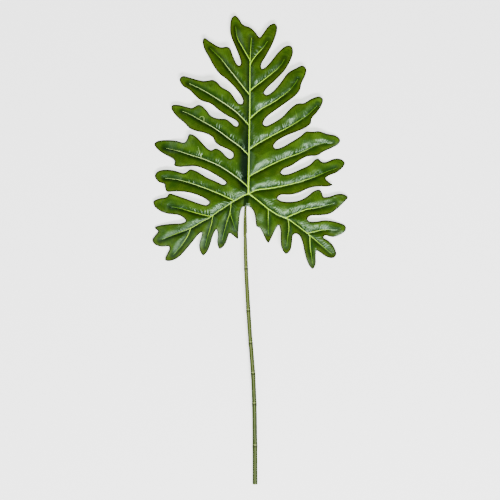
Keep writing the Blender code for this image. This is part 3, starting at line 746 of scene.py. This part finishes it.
def blade_finish(settings):
    """Glossy moulded green with fine side veins, painted shade beside the ribs, and a brown edge line.
    """
    finish = Finish("moulded_green")
    names = ("rib_gap", "rib_run", "rib_side", "edge_gap", "stalk_gap", "midrib_side", "upper")
    gap, run, side, edge, stalk, midrib, upper = (finish.attribute(name) for name in names)
    right, along = finish.along("X"), finish.along("Y")
    broad = finish.noise(28, 3)
    patches = finish.noise(110, 4)
    grain = finish.noise(1600, 2)
    drift = (broad - 0.5) * 1.4
    comb = ((run - gap * 0.75) * (MM / settings.comb) + drift).math("PINGPONG", 0.5) * 2
    veins = comb.step(0.72, 1.0) * gap.step(0.8, 2.2) * edge.step(0.8, 3)
    # lower is a rib's shaded side, where the painted shade beside the ribs is darkest.
    lower = side.step(0.3, -0.3)
    spring = along.step(0.22, 0.34) * 0.4 + edge.step(9, 1) * 0.5
    spring += lower * 0.3 + (patches - 0.5) * 1.7
    green = finish.mix(spring, settings.leaf, settings.young)
    # Light yellow-green patches at random, partly painted light: a larger share on the lit side of the
    # ribs.
    light = (finish.noise(60, 2).step(0.4, 0.75) * 0.7 + 0.3) * gap.step(2, 8) * edge.step(1, 4)
    green = finish.mix(light * (0.3 + side.step(-0.4, 0.4) * 0.4), green, settings.fresh)
    # Painted shade: deep green beside the ribs, strongest on their shaded side and broken up by noise.
    beside = gap.step(7, 0.8) * (0.35 + lower * (0.5 - midrib.step(-2, 8) * 0.3))
    green = finish.mix(beside + (0.5 - broad) * 0.8, green, settings.deep)
    green = finish.mix(veins * 0.4, green, settings.deep)
    # Painted shade: a blackish band to the left of the midrib, over the hollow that the sheet falls
    # into there.
    strip = midrib.step(-19, -8) * midrib.step(0, -0.5)
    strip *= along.step(0.27, 0.12) * along.step(0.08, 0.1)
    green = finish.mix(strip * 0.95, green, settings.strip)
    over_stalk = stalk.step(4.5, 3) * along.step(0.095, 0.08)
    green = finish.mix(over_stalk * 0.85, green, settings.deep)
    rim = edge.step(settings.margin / MM, settings.margin / MM * 0.55)
    green = finish.mix(rim * 0.9, green, settings.edge)
    back = finish.mix(gap.step(2.5, 1) * 0.35, settings.back, settings.young)
    face = finish.mix(upper, back, green)
    low_left = along.step(0.07, 0.02) * (right.step(0.03, -0.03) * 0.11 + 0.03)
    height = veins * -0.5 + grain * 0.12 + patches * 0.5
    return finish.wear(
        Base_Color=face,
        Roughness=(1 - upper) * 0.25 + (patches - 0.5) * 0.16 + low_left + settings.gloss,
        Specular_IOR_Level=0.34,
        Specular_Tint=(0.62, 0.95, 0.66, 1),
        Normal=finish.relief(height, 0.12 * MM, 0.8),
    )


def rib_finish(settings):
    """Pale lime, with a painted highlight on the upper left, and more olive on the widest ribs' sides.
    """
    finish = Finish("pale_rib")
    across = finish.attribute("rib_across")
    width = finish.attribute("rib_width")
    along = finish.along("Y")
    mottle = finish.noise(300, 3)
    left = finish.along("X").step(0, -0.025)
    # Painted highlight: the ribs on the upper left are whiter, and fade less at their ends.
    bright = left * along.step(0.07, 0.12) * along.step(0.3, 0.26)
    dim = left * along.step(0.085, 0.065)
    olive = across.step(0.45, 0.95) * width.step(0.5, 1.2) * 0.9
    olive += (mottle - 0.5) * 0.4 + dim * 0.45
    pale = finish.mix(olive, finish.mix(bright, settings.pale, settings.bright), settings.olive)
    ends = width.step(0.45, 0.25) * (0.9 - bright * 0.6)
    return finish.wear(
        Base_Color=finish.mix(ends, pale, settings.green),
        Roughness=mottle * 0.2 + 0.34,
        Specular_IOR_Level=0.35,
        Normal=finish.relief(finish.noise(1500, 2), 0.05 * MM, 0.5),
    )


def satin_olive(finish, streaks, face):
    """Satin olive plastic with faint lines along it."""
    return finish.wear(
        Base_Color=face,
        Roughness=streaks * 0.2 + 0.36,
        Specular_IOR_Level=0.12,
        Normal=finish.relief(streaks, 0.15 * MM, 0.7),
    )


def stalk_finish(settings):
    finish = Finish("stalk_olive")
    streaks = finish.noise(900, 3, (1, 0.05, 1))
    face = finish.mix(streaks.step(0.35, 0.65), settings.shade, settings.olive)
    face = finish.mix(finish.attribute("lip"), face, settings.lip)
    return satin_olive(finish, streaks, face)


def stem_finish(settings):
    finish = Finish("stem_olive")
    streaks = finish.noise(900, 3, (1, 0.03, 1))
    joint, side = finish.attribute("joint_gap"), finish.attribute("side")
    across = side.math("ABSOLUTE")
    paler = finish.along("Y").step(-0.3, 0.02) + (streaks - 0.5) * 1.2
    face = finish.mix(paler, settings.lower, settings.upper)
    # Painted shade: the stem's sides darker than its middle.
    face = finish.mix(across.step(0.4, 0.85) * 0.85, face, settings.painted_flank_shade)
    # Painted shade and highlight: a dark line beside the middle and a pale line along the middle of
    # the stem.
    wander = finish.noise(25, 1) * 0.5 - 0.25
    painted_shade_line = (side + wander - 0.4).math("ABSOLUTE").step(0.22, 0.08)
    face = finish.mix(painted_shade_line * 0.4, face, settings.groove)
    painted_highlight_line = (side + wander).math("ABSOLUTE").step(0.3, 0.04)
    face = finish.mix(painted_highlight_line * 0.18, face, settings.painted_stem_highlight)
    # Painted shadow: a dark ring in the groove of each joint.
    ring = joint.step(-1.1, -0.5) * joint.step(0.9, 0.3) * (1 - across * 0.4)
    face = finish.mix(ring * 0.95, face, settings.groove)
    # Painted highlight: a pale mark just above each joint, brightest along the middle.
    painted_stem_highlight = joint.step(1.8, 2.3) * joint.step(3.4, 2.9) * (across.step(0.5, 0.15) * 0.7 + 0.1)
    face = finish.mix(painted_stem_highlight, face, settings.painted_stem_highlight)
    face = finish.mix(finish.attribute("cut"), face, settings.cut)
    return satin_olive(finish, streaks, face)


class LEAF_OT_blade(bpy.types.Operator):
    """Add the leaf's thin lobed blade"""

    bl_idname = "leaf.blade"
    bl_label = "Blade"

    RIM_DROP = 0.25 * MM
    RIM_LIFT = 0.15 * MM
    KEEL_SPREAD = 0.5

    def execute(self, context):
        settings = context.scene.leaf_blade
        bm = surface().sheet.copy()
        upper = bm.verts.layers.float.new("upper")
        lower_side = set(bm.verts)
        bmesh.ops.extrude_face_region(bm, geom=bm.faces[:], use_keep_orig=True)
        names = ("rib_gap", "rib_width", "edge_gap")
        gap, width, edge = (bm.verts.layers.float[name] for name in names)
        for vert in bm.verts:
            on_rim = vert[edge] == 0
            if vert not in lower_side:
                vert[upper] = 1
                vert.co.z -= self.RIM_DROP if on_rim else 0
                continue
            keel = settings.keel * math.exp(-((vert[gap] / (vert[width] + self.KEEL_SPREAD)) ** 2))
            vert.co.z -= settings.thickness + keel
            vert.co.z = max(vert.co.z + (self.RIM_LIFT if on_rim else 0), 0)
        bmesh.ops.recalc_face_normals(bm, faces=bm.faces[:])
        as_piece("blade_face", bm, blade_finish(settings), "blade")
        return {"FINISHED"}


class LEAF_OT_ribs(bpy.types.Operator):
    """Add the pale ribs and their short side twigs"""

    bl_idname = "leaf.ribs"
    bl_label = "Ribs"

    STEP = 1.2 * MM
    EVERY = 8
    SIDES = 10
    SINK = 0.1
    NARROWING = 0.66
    UNDER = 0.25
    TWIG_END = 0.4

    def execute(self, context):
        settings = context.scene.leaf_ribs
        height = surface().height
        rows = [self.rib(line) for line in skeleton().lines]
        rows += [self.twig(points, settings.twig / 2) for points in TWIGS.values()]
        lines = []
        for row in rows:
            hits = [(x, y, height(x, y), r) for x, y, r in row]
            lines.append([(x, y, hit.z - self.SINK * r, r) for x, y, hit, r in hits if hit])
        bm = tubes("ribs", lines, self.SIDES)
        self.seat(bm, np.vstack(rows), height)
        as_piece("rib_network", bm, rib_finish(settings), "ribs")
        return {"FINISHED"}

    def rib(self, line):
        return smooth_line(line[::self.EVERY], self.STEP)[:, :3] * (1, 1, self.NARROWING)

    def twig(self, points, radius):
        line = smooth_line([(from_column(x), from_row(y)) for x, y in points], self.STEP)
        radii = radius * np.linspace(1, self.TWIG_END, len(line))
        return np.column_stack([line, radii])

    def seat(self, bm, rows, height):
        """Flattens what is under the blade's face, and notes each place's rib and side of it."""
        nearest = Nearest(rows)
        across, width = (bm.verts.layers.float.new(name) for name in ("rib_across", "rib_width"))
        for vert in bm.verts:
            gap, number = nearest.find(vert.co.x, vert.co.y)
            vert[width] = rows[number][2] / MM
            vert[across] = min(gap / rows[number][2], 1)
            hit = height(vert.co.x, vert.co.y)
            if hit and vert.co.z < hit.z:
                vert.co.z = hit.z - (hit.z - vert.co.z) * self.UNDER


class LEAF_OT_stalk(bpy.types.Operator):
    """Add the stalk under the blade, with its sleeve"""

    bl_idname = "leaf.stalk"
    bl_label = "Stalk"

    STEP = 0.9 * MM
    SIDES = 32
    LIP = 1.2 * MM
    LIP_SHARE = 0.8
    COLLAR = 0.5 * MM

    def execute(self, context):
        settings = context.scene.leaf_stalk
        top, end = (from_row(STALK_RADII[place][0]) for place in (0, -1))
        ys = np.linspace(end, top, round((top - end) / self.STEP))
        ys = np.union1d(ys, [from_row(row) for row, _ in STALK_RADII])
        bm = tubes("stalk", [bar_rows(STALK_RADII, ys)], self.SIDES)
        left, right = (Vector((from_column(x), from_row(y), 0)) for x, y in SLEEVE_MOUTH)
        self.cut_mouth(bm, left, right, settings)
        collar = from_row(COLLAR_ROW)
        lip = bm.verts.layers.float.new("lip")
        for vert in bm.verts:
            mouth = np.interp(vert.co.x, (left.x, right.x), (left.y, right.y))
            on_collar = rise(abs(vert.co.y - collar), self.COLLAR * 2, self.COLLAR / 2)
            on_lip = rise(vert.co.y - mouth, self.LIP, 0) * self.LIP_SHARE
            vert[lip] = max(on_collar, on_lip)
        as_piece("stalk_sleeve", bm, stalk_finish(settings), "stalk")
        return {"FINISHED"}

    def cut_mouth(self, bm, left, right, settings):
        """Cuts the sleeve off slantwise from left to right, and sinks its mouth for the stem."""
        away = (right - left).cross(Vector((0, 0, 1)))
        whole = bm.verts[:] + bm.edges[:] + bm.faces[:]
        bmesh.ops.bisect_plane(
            bm, geom=whole, dist=WELD, plane_co=left, plane_no=away, clear_outer=True)
        rim = [edge for edge in bm.edges if edge.is_boundary]
        middle = sum((edge.verts[0].co for edge in rim), Vector()) / len(rim)
        radius = STALK_RADII[-1][1] * MM
        for share_in, sink in ((1 - settings.wall / radius, 0), (1, settings.depth)):
            made = bmesh.ops.extrude_edge_only(bm, edges=rim)["geom"]
            verts = [part for part in made if isinstance(part, bmesh.types.BMVert)]
            rim = [part for part in made if isinstance(part, bmesh.types.BMEdge) and part.is_boundary]
            for vert in verts:
                vert.co.xz = middle.xz + (vert.co.xz - middle.xz) * share_in
                vert.co.y += sink
        bmesh.ops.contextual_create(bm, geom=rim)
        bmesh.ops.recalc_face_normals(bm, faces=bm.faces[:])


class LEAF_OT_stem(bpy.types.Operator):
    """Add the jointed stem"""

    bl_idname = "leaf.stem"
    bl_label = "Stem"

    STEP = 2.2 * MM
    SIDES = 32
    INSET = 0.05 * MM
    BEVEL = 0.25 * MM
    FLUTES = 5
    FLUTE_TWIST = 20

    def execute(self, context):
        settings = context.scene.leaf_stem
        joints = [from_row(row) for row in STEM_JOINTS]
        end, top = CAD_BOX[0][1] + self.INSET, from_row(PEG_RADII[0][0])
        plain = np.linspace(end, top, round((top - end) / self.STEP))
        apart = np.abs(plain[:, None] - joints).min(1)
        marks = [from_row(row) for row, _ in PEG_RADII] + [end + self.BEVEL]
        marks += [joint + along * MM for joint in joints for along, _ in JOINT_SHAPE]
        ys = np.union1d(plain[apart > JOINT_SHAPE[0][0] * MM], marks)
        rows = bar_rows(PEG_RADII + STEM_RADII, ys)
        for row in rows:
            row[3] += self.swelling(min((row[1] - joint for joint in joints), key=abs) / MM, settings)
        rows[0, 3] -= self.BEVEL
        bm = tubes("stem", [rows], self.SIDES)
        self.shape_sides(bm, rows, joints, settings)
        as_piece("jointed_stem", bm, stem_finish(settings), "stem")
        return {"FINISHED"}

    def swelling(self, gap, settings):
        return np.interp(gap, *np.array(JOINT_SHAPE)[::-1].T) * settings.swell

    def shape_sides(self, bm, rows, joints, settings):
        """Sinks shallow grooves along the stem, and notes what the finish reads."""
        names = ("joint_gap", "side", "cut")
        joint_gap, across, cut = (bm.verts.layers.float.new(name) for name in names)
        for vert in bm.verts:
            x, z, radius = (np.interp(vert.co.y, rows[:, 1], rows[:, axis]) for axis in (0, 2, 3))
            out = Vector((vert.co.x - x, 0, vert.co.z - z))
            gap = min((vert.co.y - joint for joint in joints), key=abs) / MM
            vert[joint_gap] = gap
            vert[across] = out.x / radius
            vert[cut] = rise(vert.co.y - rows[0, 1], 2 * self.BEVEL, self.BEVEL / 2)
            if out.length > radius / 2 and abs(gap) > JOINT_SHAPE[0][0] and not vert[cut]:
                turn = math.atan2(out.z, out.x) * self.FLUTES + vert.co.y * self.FLUTE_TWIST
                vert.co -= out.normalized() * settings.flute * (0.5 + 0.5 * math.sin(turn))


class LEAF_OT_stage(bpy.types.Operator):
    """Add the floor, the soft lights and the camera straight above"""

    bl_idname = "leaf.stage"
    bl_label = "Stage"

    FLOOR = 30.0
    FLOOR_ROUGHNESS = 0.9
    SENSOR = 36.0
    FAR = 20.0
    AIM = Vector((0, 0.05, 0))

    # Each light's place and its width and height.
    KEY = ((0.5, -1.55, 2.3), (1.7, 0.8))
    LEFT = ((-2.2, 0.5, 2.0), (1.6, 1.6))
    RIGHT = ((2.2, 0.8, 2.0), (1.6, 1.6))
    RIGHT_WEAKER = 6

    def execute(self, context):
        settings = context.scene.leaf_stage
        self.floor(settings)
        self.light("key_light", *self.KEY, settings.key)
        self.light("fill_left", *self.LEFT, settings.fill)
        self.light("fill_right", *self.RIGHT, settings.fill / self.RIGHT_WEAKER)
        self.room(context.scene, settings)
        self.camera(context.scene, settings)
        return {"FINISHED"}

    def room(self, scene, settings):
        world = bpy.data.worlds.new("soft_room")
        scene.world = world
        world.use_nodes = True
        around = world.node_tree.nodes["Background"]
        around.inputs["Color"].default_value = (1, 1, 1, 1)
        around.inputs["Strength"].default_value = settings.world

    def camera(self, scene, settings):
        """A camera straight above the leaf, high enough to take in the view's width."""
        camera = bpy.data.cameras.new("camera")
        camera.lens = settings.lens
        camera.sensor_width = self.SENSOR
        camera.clip_end = self.FAR
        eye = bpy.data.objects.new("camera", camera)
        eye.location = (0, 0, settings.view * settings.lens / self.SENSOR)
        scene.collection.objects.link(eye)
        scene.camera = eye

    def floor(self, settings):
        bm = bmesh.new()
        bmesh.ops.create_grid(bm, x_segments=1, y_segments=1, size=self.FLOOR / 2)
        mesh = bpy.data.meshes.new("floor")
        bm.to_mesh(mesh)
        bm.free()
        finish = Finish("pale_floor").wear(
            Base_Color=settings.floor,
            Roughness=self.FLOOR_ROUGHNESS,
            Emission_Color=settings.floor,
            Emission_Strength=settings.glow,
        )
        mesh.materials.append(finish)
        floor = bpy.data.objects.new("floor", mesh)
        bpy.context.scene.collection.objects.link(floor)

    def light(self, name, place, size, power):
        lamp = bpy.data.lights.new(name, "AREA")
        lamp.shape = "RECTANGLE"
        lamp.size, lamp.size_y = size
        lamp.energy = power
        light = bpy.data.objects.new(name, lamp)
        light.location = place
        light.rotation_euler = (self.AIM - light.location).to_track_quat("-Z", "Y").to_euler()
        bpy.context.scene.collection.objects.link(light)


class LEAF_PT_panel(bpy.types.Panel):
    """The leaf's pieces and stage, one button each"""

    bl_idname = "LEAF_PT_panel"
    bl_label = "Philodendron leaf"
    bl_space_type = "VIEW_3D"
    bl_region_type = "UI"
    bl_category = "Leaf"

    def draw(self, context):
        for operator, group in PIECES.items():
            box = self.layout.box()
            settings = getattr(context.scene, group)
            for name in settings.bl_rna.properties.keys():
                if name not in ("rna_type", "name"):
                    box.prop(settings, name)
            box.operator(operator)


PIECES = {
    "leaf.blade": "leaf_blade",
    "leaf.ribs": "leaf_ribs",
    "leaf.stalk": "leaf_stalk",
    "leaf.stem": "leaf_stem",
    "leaf.stage": "leaf_stage",
}
GROUPS = {
    "leaf_blade": BladeSettings,
    "leaf_ribs": RibSettings,
    "leaf_stalk": StalkSettings,
    "leaf_stem": StemSettings,
    "leaf_stage": StageSettings,
}
CLASSES = (
    *GROUPS.values(),
    LEAF_OT_blade,
    LEAF_OT_ribs,
    LEAF_OT_stalk,
    LEAF_OT_stem,
    LEAF_OT_stage,
    LEAF_PT_panel,
)


def register():
    for made in CLASSES:
        bpy.utils.register_class(made)
    for name, group in GROUPS.items():
        setattr(bpy.types.Scene, name, PointerProperty(type=group))


def unregister():
    for name in GROUPS:
        delattr(bpy.types.Scene, name)
    for made in reversed(CLASSES):
        bpy.utils.unregister_class(made)


def main():
    register()
    bpy.ops.leaf.stage()
    bpy.ops.leaf.blade()
    bpy.ops.leaf.ribs()
    bpy.ops.leaf.stalk()
    bpy.ops.leaf.stem()


if __name__ == "__main__":
    main()
